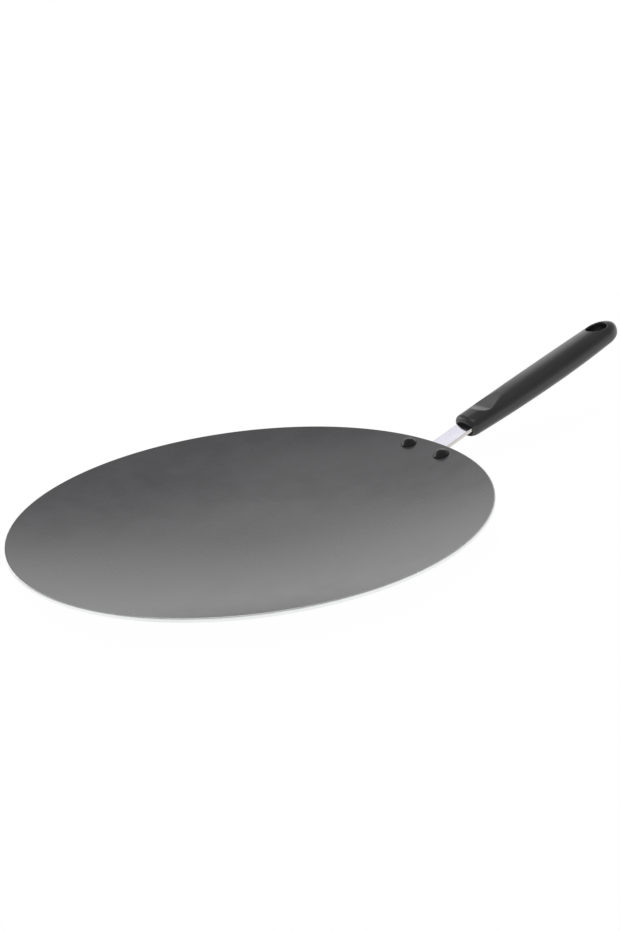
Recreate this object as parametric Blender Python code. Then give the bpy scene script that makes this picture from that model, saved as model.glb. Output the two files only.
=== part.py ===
"""Concave griddle pan (tawa): a dished round sheet, two rivets, a flat bracket and a moulded grip.

Frame: metres, +Z up. The origin is the middle of the flat foot that the pan stands on, and the
handle runs out along +X, rising. Every size that can be chosen by itself is named below, and
everything that seats on, fits in or lines up with another piece is worked out from these.
"""

import math

import bmesh
import bpy

# Fits
CLEARANCE = 0.0003            # gap left between two pieces that touch
OVERCUT = 0.004               # how far a cutter runs past the surface it opens

# Dish
RIM_RADIUS = 0.150
DISH_DEPTH = 0.016            # rise of the cooking surface from its middle to the rim
DISH_POWER = 2.4              # exponent of that rise over the plan radius
FOOT_RADIUS = 0.045           # flat turned under the middle, which the pan stands on
SHEET = 0.0025                # thickness of the plate in its middle and at its rim
RIM_ROUND = 0.0006            # rounded corners of the upright cut edge

# Rivets
RIVET_INSET = 0.0109          # from the rim to the rivets' line, in plan
RIVET_PITCH = 0.0356          # between the two rivets
RIVET_HEAD_RADIUS = 0.00565
RIVET_HEAD_HEIGHT = 0.0036
RIVET_SHANK_RADIUS = 0.0026
RIVET_TAIL_RADIUS = 0.0044
RIVET_TAIL_HEIGHT = 0.0018
RIVET_TAIL_FLAT = 0.55        # share of the tail's radius that its flat end takes

# Bracket: a foot under the dish, and a flat strap that runs into the grip
BRACKET_THICKNESS = 0.0025
STRAP_WIDTH = 0.0157
STRAP_RISE = math.radians(18.0)
EAR_MARGIN = 0.0041           # metal round each rivet's tail
FOOT_FILLET = 0.0060          # between the foot and the strap
STRAP_VISIBLE = 0.0275        # along the strap, from the rim to the grip's mouth
TANG_LENGTH = 0.062           # strap inside the grip
TANG_CORNER = 0.0040

# Grip: its top runs straight, its sides and its underside swell towards the middle
GRIP_LENGTH = 0.1613
GRIP_TOP = 0.0081             # top of the grip over the strap's middle, at the mouth
GRIP_FALL = math.radians(1.16)  # angle by which the top falls away from the strap's line
GRIP_FRONT_WIDTH = 0.0227
GRIP_FRONT_THICKNESS = 0.0156
GRIP_SWELL = 0.0914           # from the mouth to where the grip is fullest
GRIP_WIDTH = 0.0269
GRIP_THICKNESS = 0.0180
GRIP_END_WIDTH = 0.0250
GRIP_END_THICKNESS = 0.0167
GRIP_END_ROUND = 0.0172       # length of the round end
GRIP_END_CROWN = 0.6          # exponent that keeps the round end full in thickness
GRIP_FRONT_ROUND = 0.0038     # rounding of the mouth's brow and sides
GRIP_CHIN_ROUND = 0.0006      # rounding of the mouth's chin
GRIP_SQUARENESS = 2.35        # exponent of the section's outline: 2 is an ellipse

# Thumb scoop: a floor that is level across, deepest near its front and rising to the rear
SCOOP_START = 0.0133          # from the mouth
SCOOP_DEEPEST = 0.0213
SCOOP_END = 0.0415
SCOOP_DEPTH = 0.0020

# Hole that the pan hangs by
HANG_HOLE_INSET = 0.0170      # from the end of the grip to the hole's middle
HANG_HOLE_LENGTH = 0.0166
HANG_HOLE_WIDTH = 0.0140
HANG_HOLE_FLARE = 0.0008      # how much wider the hole is at its two mouths

# Screw, spring washer and insert that hold the grip on the tang
SCREW_INSET = 0.012           # from the tang's end to the screw
SCREW_RADIUS = 0.0020
SCREW_HEAD_RADIUS = 0.0036
SCREW_HEAD_HEIGHT = 0.0024
SCREW_HEAD_FLAT = 0.55        # share of the head's radius that its flat face takes
SCREW_POINT = 0.0006          # chamfer at the screw's tip
SCREW_SUNK = 0.0010           # how far the head lies below the grip's surface
CROSS_WIDTH = 0.0010
CROSS_LENGTH = 0.0042
CROSS_DEPTH = 0.0013
WASHER_WALL = 0.0013
WASHER_THICKNESS = 0.0010
WASHER_SPLIT = math.radians(14.0)
INSERT_WALL = 0.0012
INSERT_LENGTH = 0.0050
INSERT_GROOVE = 0.0004
INSERT_BANDS = 5              # bands along the insert, every other one a groove

# Fineness of the round shapes
DISH_STEPS = 96
DISH_RINGS = 14
ROUND_STEPS = 4
SMALL_STEPS = 28
DOME_STEPS = 8
HANG_HOLE_STEPS = 16
SCOOP_STEPS = 18
SCOOP_MARGIN = 0.0012         # how far the scoop's cutter runs past its front
GRIP_END_TURN = math.radians(89)
GRIP_STEPS = 44
GRIP_BODY_RINGS = 14
GRIP_END_RINGS = 9
SMOOTH_ANGLE = math.radians(32.0)

# Colours of the materials, linear
COAT_COLOUR = (0.130, 0.130, 0.133)
RIVET_COLOUR = (0.040, 0.038, 0.038)
STEEL_COLOUR = (0.780, 0.780, 0.800)
GRIP_COLOUR = (0.028, 0.028, 0.029)
ZINC_COLOUR = (0.550, 0.560, 0.570)
BRASS_COLOUR = (0.620, 0.440, 0.180)


# Shape of the dish

def inner_height(radius):
    """Height of the cooking surface at a plan radius."""
    return SHEET + DISH_DEPTH * (radius / RIM_RADIUS) ** DISH_POWER


def inner_slope(radius):
    """Angle at which the cooking surface rises outwards at a plan radius."""
    share = (radius / RIM_RADIUS) ** (DISH_POWER - 1)
    return math.atan(DISH_POWER * DISH_DEPTH / RIM_RADIUS * share)


def below_inner(radius, drop):
    """Plan radius and height of the point at a depth under the cooking surface, square to it."""
    slope = inner_slope(radius)
    return radius + drop * math.sin(slope), inner_height(radius) - drop * math.cos(slope)


def height_below(radius, drop):
    """Height, at a plan radius, of the surface that lies at a depth under the cooking surface."""
    above = radius
    for _ in range(12):
        above = radius - drop * math.sin(inner_slope(above))
    return below_inner(above, drop)[1]


def thickness(radius):
    """Thickness outside the foot: it falls with the cube of the way left to the rim."""
    left = (RIM_RADIUS - radius) / (RIM_RADIUS - FOOT_RADIUS)
    return SHEET + (inner_height(FOOT_RADIUS) - SHEET) * left ** 3


# Places worked out from the driving dimensions

RIM_SLOPE = inner_slope(RIM_RADIUS)
RIVET_X = RIM_RADIUS - RIVET_INSET
RIVET_RADIUS_IN_PLAN = math.hypot(RIVET_X, RIVET_PITCH / 2)
RIVET_SLOPE = inner_slope(RIVET_RADIUS_IN_PLAN)
EAR_RADIUS = RIVET_TAIL_RADIUS + EAR_MARGIN
STACK = SHEET + CLEARANCE + BRACKET_THICKNESS

BEND_X = RIM_RADIUS + CLEARANCE
BEND_TOP = height_below(BEND_X, SHEET + CLEARANCE)
STRAP_DROP = BRACKET_THICKNESS / math.cos(STRAP_RISE)
MOUTH_X = BEND_X + STRAP_VISIBLE * math.cos(STRAP_RISE)
MOUTH_Z = BEND_TOP + STRAP_VISIBLE * math.sin(STRAP_RISE) - STRAP_DROP / 2
TANG_END_X = MOUTH_X + TANG_LENGTH * math.cos(STRAP_RISE)
SCREW_POSITION = TANG_LENGTH - SCREW_INSET

SLOT_WIDTH = STRAP_WIDTH + 2 * CLEARANCE
SLOT_HEIGHT = BRACKET_THICKNESS + 2 * CLEARANCE
SLOT_DEPTH = TANG_LENGTH + BRACKET_THICKNESS / 2 * math.tan(STRAP_RISE) + CLEARANCE
SCREW_HOLE_RADIUS = SCREW_RADIUS + CLEARANCE
WASHER_INNER = SCREW_RADIUS + CLEARANCE
WASHER_OUTER = WASHER_INNER + WASHER_WALL
COUNTERBORE_RADIUS = max(SCREW_HEAD_RADIUS, WASHER_OUTER) + CLEARANCE
INSERT_INNER = SCREW_RADIUS + CLEARANCE
INSERT_OUTER = INSERT_INNER + INSERT_WALL
HANG_HOLE_X = GRIP_LENGTH - HANG_HOLE_INSET


# Blender helpers

def clear_scene():
    """Remove every object that the open file holds."""
    for item in list(bpy.data.objects):
        bpy.data.objects.remove(item, do_unlink=True)


def make_material(name, colour, roughness, metallic):
    """A plain surface of one colour."""
    material = bpy.data.materials.new(name)
    material.use_nodes = True
    shader = material.node_tree.nodes["Principled BSDF"]
    shader.inputs["Base Color"].default_value = (*colour, 1.0)
    shader.inputs["Roughness"].default_value = roughness
    shader.inputs["Metallic"].default_value = metallic
    material.diffuse_color = (*colour, 1.0)
    return material


def finish(mesh_data, name, material=None):
    """Turn a bmesh into an object whose faces point outwards."""
    bmesh.ops.recalc_face_normals(mesh_data, faces=mesh_data.faces)
    mesh = bpy.data.meshes.new(name)
    mesh_data.to_mesh(mesh)
    mesh_data.free()
    mesh.shade_smooth()
    mesh.set_sharp_from_angle(angle=SMOOTH_ANGLE)
    item = bpy.data.objects.new(name, mesh)
    bpy.context.scene.collection.objects.link(item)
    if material:
        mesh.materials.append(material)
    return item


def as_cutter(item):
    """Mark an object as a tool that is not a piece of the pan."""
    item.hide_render = True
    item.display_type = "WIRE"
    return item


def cut(item, cutter, operation="DIFFERENCE"):
    """Leave an exact Boolean on an object."""
    modifier = item.modifiers.new(cutter.name, "BOOLEAN")
    modifier.operation = operation
    modifier.solver = "EXACT"
    modifier.object = cutter


def lathe(name, profile, steps, material=None):
    """Turn an outline of (radius, height) points round Z; open ends are closed with flat discs."""
    data = bmesh.new()
    points = [data.verts.new((radius, 0.0, height)) for radius, height in profile]
    edges = [data.edges.new(pair) for pair in zip(points, points[1:])]
    bmesh.ops.spin(
        data, geom=points + edges, cent=(0, 0, 0), axis=(0, 0, 1), dvec=(0, 0, 0),
        angle=math.tau, steps=steps, use_merge=True, use_duplicate=False,
    )
    bmesh.ops.remove_doubles(data, verts=data.verts, dist=1e-6)
    bmesh.ops.holes_fill(data, edges=[edge for edge in data.edges if edge.is_boundary], sides=0)
    return finish(data, name, material)


def rod(name, radius, low, high, steps=SMALL_STEPS):
    """A cylinder along its own Z, used as a cutter."""
    return as_cutter(lathe(name, [(radius, low), (radius, high)], steps))


def arc(centre_x, centre_y, radius, start, end, steps=6):
    """Points of a circular arc, both ends included, with angles in degrees."""
    points = []
    for step in range(steps + 1):
        angle = math.radians(start + (end - start) * step / steps)
        points.append((centre_x + radius * math.cos(angle), centre_y + radius * math.sin(angle)))
    return points


def prism(name, outline, low, high):
    """A plan outline extruded upwards."""
    data = bmesh.new()
    face = data.faces.new([data.verts.new((x, y, low)) for x, y in outline])
    raised = bmesh.ops.extrude_face_region(data, geom=[face])
    lifted = [part for part in raised["geom"] if isinstance(part, bmesh.types.BMVert)]
    bmesh.ops.translate(data, verts=lifted, vec=(0, 0, high - low))
    return finish(data, name)


def loft(name, rings, material=None):
    """Skin a row of closed rings of equal length and cap the two ends."""
    data = bmesh.new()
    rows = [[data.verts.new(point) for point in ring] for ring in rings]
    count = len(rings[0])
    for row, following in zip(rows, rows[1:]):
        for step in range(count):
            onward = (step + 1) % count
            data.faces.new((row[step], row[onward], following[onward], following[step]))
    data.faces.new(rows[0])
    data.faces.new(rows[-1])
    return finish(data, name, material)


def on_dish(item, side):
    """Seat an object on the cooking surface at a rivet's place, its Z square to the surface."""
    item.location = (RIVET_X, side * RIVET_PITCH / 2, inner_height(RIVET_RADIUS_IN_PLAN))
    item.rotation_euler = (0.0, -RIVET_SLOPE, side * math.atan2(RIVET_PITCH / 2, RIVET_X))
    return item


# Dish

def dish_profile():
    """Outline of the sheet from its middle over the rim and back under it to the flat foot."""
    inner = [RIM_RADIUS * ring / DISH_RINGS for ring in range(DISH_RINGS)]
    points = [(radius, inner_height(radius)) for radius in inner]
    middle = RIM_RADIUS - RIM_ROUND
    rise = RIM_ROUND / math.cos(RIM_SLOPE)
    upper = inner_height(RIM_RADIUS) - RIM_ROUND * math.tan(RIM_SLOPE) - rise
    lower = upper - (SHEET - 2 * RIM_ROUND) / math.cos(RIM_SLOPE)
    quarter = math.pi / 2
    for height, start, end in ((upper, quarter + RIM_SLOPE, 0.0), (lower, 0.0, RIM_SLOPE - quarter)):
        for step in range(ROUND_STEPS + 1):
            turn = start + (end - start) * step / ROUND_STEPS
            points.append((middle + RIM_ROUND * math.cos(turn), height + RIM_ROUND * math.sin(turn)))
    outer = [radius for radius in reversed(inner) if radius > FOOT_RADIUS + SHEET]
    points += [below_inner(radius, thickness(radius)) for radius in outer]
    points.append((FOOT_RADIUS, 0.0))
    return points


def make_plate(material):
    """The dished sheet with its two rivet holes."""
    plate = lathe("tawa_plate", dish_profile(), DISH_STEPS, material)
    reach = STACK + OVERCUT
    for side, name in ((1, "left"), (-1, "right")):
        hole = rod("plate_hole_" + name, RIVET_SHANK_RADIUS + CLEARANCE, -reach, OVERCUT)
        cut(plate, on_dish(hole, side))
    return plate


# Rivets

def barrel(radius, flat_share, seat, height):
    """Outline of a low head from its seat to the middle of its flat end."""
    flat = radius * flat_share
    bulge = arc(0, 0, 1, 0, 90, ROUND_STEPS)
    points = [(radius, seat)]
    points += [(flat + (radius - flat) * out, seat + height * (1 + up) / 2) for out, up in bulge]
    points.append((0.0, seat + height))
    return points


def rivet_profile():
    """Outline of a set rivet: domed head, shank and flattened tail, with its ends on the axis."""
    head_floor = CLEARANCE
    tail_top = -(STACK + CLEARANCE)
    sphere = (RIVET_HEAD_RADIUS ** 2 + RIVET_HEAD_HEIGHT ** 2) / (2 * RIVET_HEAD_HEIGHT)
    centre = head_floor + RIVET_HEAD_HEIGHT - sphere
    widest = math.asin(RIVET_HEAD_RADIUS / sphere)
    points = []
    for step in range(DOME_STEPS + 1):
        angle = widest * step / DOME_STEPS
        points.append((sphere * math.sin(angle), centre + sphere * math.cos(angle)))
    points.append((RIVET_SHANK_RADIUS, head_floor))
    points.append((RIVET_SHANK_RADIUS, tail_top))
    points += barrel(RIVET_TAIL_RADIUS, RIVET_TAIL_FLAT, tail_top, -RIVET_TAIL_HEIGHT)
    return points


def make_rivets(material):
    """The two rivets that hold the dish on the bracket."""
    for side, name in ((1, "rivet_left"), (-1, "rivet_right")):
        on_dish(lathe(name, rivet_profile(), SMALL_STEPS, material), side)


# Bracket

def bracket_outline():
    """Plan of the bracket: an ear round each rivet, filleted into the strap, and a rounded tang."""
    half_pitch = RIVET_PITCH / 2
    half_strap = STRAP_WIDTH / 2
    front = RIVET_X + EAR_RADIUS
    fillet = min(FOOT_FILLET, half_pitch - half_strap)
    corner = min(TANG_CORNER, half_strap)
    upper = []
    upper += arc(TANG_END_X - corner, half_strap - corner, corner, 0, 90)
    upper += arc(front + fillet, half_strap + fillet, fillet, 270, 180)
    upper += arc(RIVET_X, half_pitch, EAR_RADIUS, 0, 180, 14)
    return upper + [(x, -y) for x, y in reversed(upper)]


def bracket_sheet():
    """A sheet that follows the underside of the dish, then leaves it straight along the strap."""
    inner = RIVET_X - EAR_RADIUS - OVERCUT
    columns = 12
    xs = [inner + (BEND_X - inner) * step / columns for step in range(columns + 1)]
    xs.append(TANG_END_X + OVERCUT)
    half_width = RIVET_PITCH / 2 + EAR_RADIUS + OVERCUT
    rows = 16
    ys = [half_width * (2 * step / rows - 1) for step in range(rows + 1)]
    data = bmesh.new()
    top, bottom = [], []
    for x in xs:
        top_line, bottom_line = [], []
        for y in ys:
            if x < BEND_X:
                radius = math.hypot(x, y)
                height = height_below(radius, SHEET + CLEARANCE)
                under = height_below(radius, STACK)
            else:
                height = BEND_TOP + (x - BEND_X) * math.tan(STRAP_RISE)
                under = height - STRAP_DROP
            top_line.append(data.verts.new((x, y, height)))
            bottom_line.append(data.verts.new((x, y, under)))
        top.append(top_line)
        bottom.append(bottom_line)
    for i in range(len(xs) - 1):
        for j in range(rows):
            for grid in (top, bottom):
                data.faces.new((grid[i][j], grid[i + 1][j], grid[i + 1][j + 1], grid[i][j + 1]))
    for j in range(rows):
        for i in (0, -1):
            data.faces.new((top[i][j], top[i][j + 1], bottom[i][j + 1], bottom[i][j]))
    for i in range(len(xs) - 1):
        for j in (0, -1):
            data.faces.new((top[i][j], top[i + 1][j], bottom[i + 1][j], bottom[i][j]))
    return data


def make_bracket(material, grip_frame):
    """The riveted foot, strap and tang, cut from one sheet."""
    bracket = finish(bracket_sheet(), "handle_bracket", material)
    low = -OVERCUT
    high = MOUTH_Z + (TANG_LENGTH + OVERCUT) * math.sin(STRAP_RISE) + OVERCUT
    cut(bracket, as_cutter(prism("bracket_outline", bracket_outline(), low, high)), "INTERSECT")
    reach = STACK + OVERCUT
    for side, name in ((1, "left"), (-1, "right")):
        hole = rod("bracket_hole_" + name, RIVET_SHANK_RADIUS + CLEARANCE, -reach, OVERCUT)
        cut(bracket, on_dish(hole, side))
    hole = rod("tang_hole", SCREW_HOLE_RADIUS, -OVERCUT, OVERCUT)
    hole.parent = grip_frame
    hole.location = (SCREW_POSITION, 0, 0)
    cut(bracket, hole)
    return bracket


# Grip, in its own frame: X along the strap from the mouth, Z square to the strap

def swelling(low, high, share):
    """Size on the way from an end's value to the fullest one, levelling off as it gets there."""
    return low + (high - low) * (1 - (1 - share) ** 2)


def grip_half_sizes(along):
    """Half width and half thickness of the grip's section, before its ends are rounded."""
    if along < GRIP_SWELL:
        share = max(along, 0.0) / GRIP_SWELL
        width = swelling(GRIP_FRONT_WIDTH, GRIP_WIDTH, share)
        thickness = swelling(GRIP_FRONT_THICKNESS, GRIP_THICKNESS, share)
    else:
        share = 1 - (along - GRIP_SWELL) / (GRIP_LENGTH - GRIP_END_ROUND - GRIP_SWELL)
        width = swelling(GRIP_END_WIDTH, GRIP_WIDTH, share)
        thickness = swelling(GRIP_END_THICKNESS, GRIP_THICKNESS, share)
    return width / 2, thickness / 2


def grip_top(along):
    """Height of the grip's top line."""
    return GRIP_TOP - along * math.tan(GRIP_FALL)


def grip_underside(along):
    """Height of the grip's lowest line."""
    return grip_top(along) - 2 * grip_half_sizes(along)[1]


def grip_ring(along, half_width, half_thickness, centre):
    """One section of the grip: a squared ellipse."""
    power = 2 / GRIP_SQUARENESS
    ring = []
    for step in range(GRIP_STEPS):
        angle = math.tau * step / GRIP_STEPS
        side = math.copysign(abs(math.cos(angle)) ** power, math.cos(angle))
        rise = math.copysign(abs(math.sin(angle)) ** power, math.sin(angle))
        ring.append((along, side * half_width, centre + rise * half_thickness))
    return ring


def grip_rings():
    """Sections from the rounded mouth to the round end."""
    rings = []
    for step in range(ROUND_STEPS + 1):
        turn = math.pi / 2 * step / ROUND_STEPS
        along = GRIP_FRONT_ROUND * (1 - math.cos(turn))
        brow = GRIP_FRONT_ROUND * (1 - math.sin(turn))
        chin = GRIP_CHIN_ROUND * (1 - math.sin(turn))
        half_width, half_thickness = grip_half_sizes(along)
        centre = grip_top(along) - half_thickness + (chin - brow) / 2
        rings.append(grip_ring(along, half_width - brow, half_thickness - (brow + chin) / 2, centre))
    start = GRIP_LENGTH - GRIP_END_ROUND
    for step in range(1, GRIP_BODY_RINGS + 1):
        along = GRIP_FRONT_ROUND + (start - GRIP_FRONT_ROUND) * step / GRIP_BODY_RINGS
        half_width, half_thickness = grip_half_sizes(along)
        centre = grip_top(along) - half_thickness
        rings.append(grip_ring(along, half_width, half_thickness, centre))
    half_width, half_thickness = grip_half_sizes(start)
    for step in range(1, GRIP_END_RINGS + 1):
        turn = GRIP_END_TURN * step / GRIP_END_RINGS
        along = start + GRIP_END_ROUND * math.sin(turn)
        centre = grip_top(along) - half_thickness
        closing = math.cos(turn)
        rings.append(grip_ring(along, half_width * closing,
                               half_thickness * closing ** GRIP_END_CROWN, centre))
    return rings


def scoop_depth(along):
    """Depth of the scoop's floor under the grip's top line; less than nothing beyond its ends."""
    if along < SCOOP_DEEPEST:
        short = (SCOOP_DEEPEST - along) / (SCOOP_DEEPEST - SCOOP_START)
        return SCOOP_DEPTH * (1 - short ** 2)
    left = (SCOOP_END - along) / (SCOOP_END - SCOOP_DEEPEST)
    return SCOOP_DEPTH * left * math.sqrt(abs(left))


def scoop_cutter():
    """A bar laid across the grip whose underside is the scoop's floor."""
    first = SCOOP_START - SCOOP_MARGIN
    last = SCOOP_END + 4 * SCOOP_MARGIN
    outline = []
    for step in range(SCOOP_STEPS + 1):
        along = first + (last - first) * step / SCOOP_STEPS
        outline.append((along, grip_top(along) - scoop_depth(along)))
    outline += [(last, GRIP_TOP + OVERCUT), (first, GRIP_TOP + OVERCUT)]
    rings = [[(x, side * GRIP_WIDTH, z) for x, z in outline] for side in (-1, 1)]
    return as_cutter(loft("scoop_cutter", rings))


def hang_hole_ring(growth, height):
    """An oblong with round ends about the cutter's own middle."""
    radius = HANG_HOLE_WIDTH / 2 + growth
    straight = (HANG_HOLE_LENGTH - HANG_HOLE_WIDTH) / 2
    ends = arc(straight, 0, radius, -90, 90, HANG_HOLE_STEPS)
    ends += arc(-straight, 0, radius, 90, 270, HANG_HOLE_STEPS)
    return [(x, y, height) for x, y in ends]


def hang_hole_cutter():
    """The hanging hole, flared at its two mouths and square to the grip's top."""
    half_width, half_thickness = grip_half_sizes(HANG_HOLE_X)
    beside = (1 - (HANG_HOLE_WIDTH / 2 / half_width) ** GRIP_SQUARENESS) ** (1 / GRIP_SQUARENESS)
    mouth = half_thickness * (1 + beside) / 2
    levels = ((HANG_HOLE_FLARE + OVERCUT, mouth + OVERCUT), (0.0, mouth - HANG_HOLE_FLARE))
    rings = [hang_hole_ring(growth, height) for growth, height in levels]
    rings += [hang_hole_ring(growth, -height) for growth, height in reversed(levels)]
    cutter = as_cutter(loft("hang_hole_cutter", rings))
    cutter.location = (HANG_HOLE_X, 0.0, grip_top(HANG_HOLE_X) - half_thickness)
    cutter.rotation_euler = (0.0, GRIP_FALL, 0.0)
    return cutter


def make_grip(material, grip_frame):
    """The moulded grip with its slot, scoop, hanging hole and screw seat."""
    grip = loft("handle_grip", grip_rings(), material)
    grip.parent = grip_frame
    corners = [(-OVERCUT, -SLOT_WIDTH / 2), (SLOT_DEPTH, -SLOT_WIDTH / 2),
               (SLOT_DEPTH, SLOT_WIDTH / 2), (-OVERCUT, SLOT_WIDTH / 2)]
    slot = as_cutter(prism("slot_cutter", corners, -SLOT_HEIGHT / 2, SLOT_HEIGHT / 2))
    floor = grip_underside(SCREW_POSITION)
    shank_hole = rod("screw_way", SCREW_HOLE_RADIUS, floor - OVERCUT, 0)
    seat = rod("screw_seat", COUNTERBORE_RADIUS, floor - OVERCUT, washer_floor())
    socket = rod("insert_socket", INSERT_OUTER + CLEARANCE, 0,
                 SLOT_HEIGHT / 2 + INSERT_LENGTH + CLEARANCE)
    for cutter in (shank_hole, seat, socket):
        cutter.location = (SCREW_POSITION, 0, 0)
    for cutter in (slot, scoop_cutter(), hang_hole_cutter(), shank_hole, seat, socket):
        cutter.parent = grip_frame
        cut(grip, cutter)
    return grip


# Screw, washer and insert, each turned about the screw's axis

def washer_floor():
    """Height of the seat that the washer presses on, in the grip's frame."""
    sunk = SCREW_SUNK + SCREW_HEAD_HEIGHT + WASHER_THICKNESS + 2 * CLEARANCE
    return grip_underside(SCREW_POSITION) + sunk


def screw_tip():
    """Height of the screw's tip, just inside the insert's far end."""
    return SLOT_HEIGHT / 2 + INSERT_LENGTH - CLEARANCE


def make_screw(material, grip_frame):
    """The pan-headed screw with a cross recess; its head faces down."""
    head_top = washer_floor() - WASHER_THICKNESS - 2 * CLEARANCE
    low = head_top - SCREW_HEAD_HEIGHT
    points = barrel(SCREW_HEAD_RADIUS, SCREW_HEAD_FLAT, head_top, -SCREW_HEAD_HEIGHT)[::-1]
    points.append((SCREW_RADIUS, head_top))
    points.append((SCREW_RADIUS, screw_tip() - SCREW_POINT))
    points.append((SCREW_RADIUS - SCREW_POINT, screw_tip()))
    points.append((0.0, screw_tip()))
    screw = lathe("grip_screw", points, SMALL_STEPS, material)
    half_length, half_width = CROSS_LENGTH / 2, CROSS_WIDTH / 2
    outline = [
        (half_length, half_width), (half_width, half_width), (half_width, half_length),
        (-half_width, half_length), (-half_width, half_width), (-half_length, half_width),
        (-half_length, -half_width), (-half_width, -half_width), (-half_width, -half_length),
        (half_width, -half_length), (half_width, -half_width), (half_length, -half_width),
    ]
    cross = as_cutter(prism("cross_cutter", outline, low - OVERCUT, low + CROSS_DEPTH))
    for item in (screw, cross):
        item.parent = grip_frame
        item.location = (SCREW_POSITION, 0, 0)
    cut(screw, cross)
    return screw


def make_washer(material, grip_frame):
    """A split spring washer under the screw's head."""
    top = washer_floor() - CLEARANCE
    data = bmesh.new()
    corners = [(WASHER_INNER, top), (WASHER_OUTER, top),
               (WASHER_OUTER, top - WASHER_THICKNESS), (WASHER_INNER, top - WASHER_THICKNESS)]
    face = data.faces.new([data.verts.new((radius, 0, height)) for radius, height in corners])
    bmesh.ops.spin(
        data, geom=[face, *face.edges, *face.verts], cent=(0, 0, 0), axis=(0, 0, 1),
        dvec=(0, 0, 0), angle=math.tau - WASHER_SPLIT, steps=SMALL_STEPS, use_duplicate=False,
    )
    washer = finish(data, "lock_washer", material)
    washer.parent = grip_frame
    washer.location = (SCREW_POSITION, 0, 0)
    return washer


def make_insert(material, grip_frame):
    """The brass insert that takes the screw, with two grooves that the moulding grips."""
    low = SLOT_HEIGHT / 2
    high = low + INSERT_LENGTH
    points = [(INSERT_INNER, low)]
    for band in range(INSERT_BANDS):
        radius = INSERT_OUTER - (INSERT_GROOVE if band % 2 else 0.0)
        points.append((radius, low + INSERT_LENGTH * band / INSERT_BANDS))
        points.append((radius, low + INSERT_LENGTH * (band + 1) / INSERT_BANDS))
    points.append((INSERT_INNER, high))
    points.append((INSERT_INNER, low))
    insert = lathe("thread_insert", points, SMALL_STEPS, material)
    insert.parent = grip_frame
    insert.location = (SCREW_POSITION, 0, 0)
    return insert


def main():
    """Build the pan."""
    clear_scene()
    coat = make_material("coated_sheet", COAT_COLOUR, 0.42, 0.0)
    rivet = make_material("coated_rivet", RIVET_COLOUR, 0.30, 0.0)
    steel = make_material("bright_steel", STEEL_COLOUR, 0.20, 1.0)
    moulding = make_material("black_moulding", GRIP_COLOUR, 0.42, 0.0)
    zinc = make_material("zinc_plate", ZINC_COLOUR, 0.35, 1.0)
    brass = make_material("brass", BRASS_COLOUR, 0.35, 1.0)

    grip_frame = bpy.data.objects.new("grip_frame", None)
    bpy.context.scene.collection.objects.link(grip_frame)
    grip_frame.location = (MOUTH_X, 0.0, MOUTH_Z)
    grip_frame.rotation_euler = (0.0, -STRAP_RISE, 0.0)
    bpy.context.view_layer.update()

    make_plate(coat)
    make_rivets(rivet)
    make_bracket(steel, grip_frame)
    make_grip(moulding, grip_frame)
    make_screw(zinc, grip_frame)
    make_washer(zinc, grip_frame)
    make_insert(brass, grip_frame)
    bpy.context.view_layer.update()


if __name__ == "__main__":
    main()
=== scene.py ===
"""Looks of a concave griddle pan: a coated dish, two domed rivets, a bright strap and a grip.

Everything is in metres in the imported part's frame. The origin is the middle of the flat that the
pan stands on, +Z is up, and the handle runs out along +X, rising. Each sub-assembly is a class
whose fields are its sizes. Its surfaces are worked out with numpy and dressed with node materials.
"""

import logging
import math
from collections.abc import Callable
from dataclasses import dataclass, field, replace
from enum import Enum
from functools import cache

import bmesh
import bpy
import numpy as np
from mathutils import Matrix


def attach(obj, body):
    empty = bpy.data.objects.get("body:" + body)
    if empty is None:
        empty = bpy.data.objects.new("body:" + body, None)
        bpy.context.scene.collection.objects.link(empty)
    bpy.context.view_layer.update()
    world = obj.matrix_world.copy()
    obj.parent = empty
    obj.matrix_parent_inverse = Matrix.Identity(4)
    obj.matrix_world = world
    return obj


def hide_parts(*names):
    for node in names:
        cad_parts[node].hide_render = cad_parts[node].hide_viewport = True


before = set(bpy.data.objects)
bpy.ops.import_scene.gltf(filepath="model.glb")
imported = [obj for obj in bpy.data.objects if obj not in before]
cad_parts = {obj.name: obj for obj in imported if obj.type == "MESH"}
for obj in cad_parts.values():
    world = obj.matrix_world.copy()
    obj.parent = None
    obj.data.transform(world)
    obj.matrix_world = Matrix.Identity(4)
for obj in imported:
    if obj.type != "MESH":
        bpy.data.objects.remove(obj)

logging.basicConfig(level=logging.INFO, format="%(message)s")
LOG = logging.getLogger("pan")

CLEARANCE = 0.0003       # gap between two pieces that touch
RIVET_HOLE = 0.0029      # radius of the rivet holes
SCREW_AT = 0.050         # from the grip's mouth to the screw
SCREW_HOLE = 0.0023      # radius of the screw's way
WHITE = (1.0, 1.0, 1.0, 1.0)
TINY = 1e-9              # keeps a division from 0

Socket = bpy.types.NodeSocket
Grid = np.ndarray
Values = np.ndarray | float


class Slot(Enum):
    """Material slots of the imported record."""

    COAT = "coated_sheet"
    RIVET = "coated_rivet"
    STEEL = "bright_steel"
    MOULDING = "black_moulding"


def add_object(name: str, data: bpy.types.ID, axes: tuple | None = None,
               origin: np.ndarray | None = None) -> bpy.types.Object:
    """Put a mesh, a camera or a lamp into the scene.

    Args:
        name: The object's name.
        data: What it holds.
        axes: Its own three axes, or None for the part's.
        origin: Its place, where axes are given.

    Returns:
        The object.
    """
    made = bpy.data.objects.new(name, data)
    if axes is not None:
        matrix = np.eye(4)
        matrix[:3, :3] = np.stack(axes, axis=1)
        matrix[:3, 3] = origin
        made.matrix_world = Matrix(matrix.tolist())
    bpy.context.scene.collection.objects.link(made)
    return made


# Node materials

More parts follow.
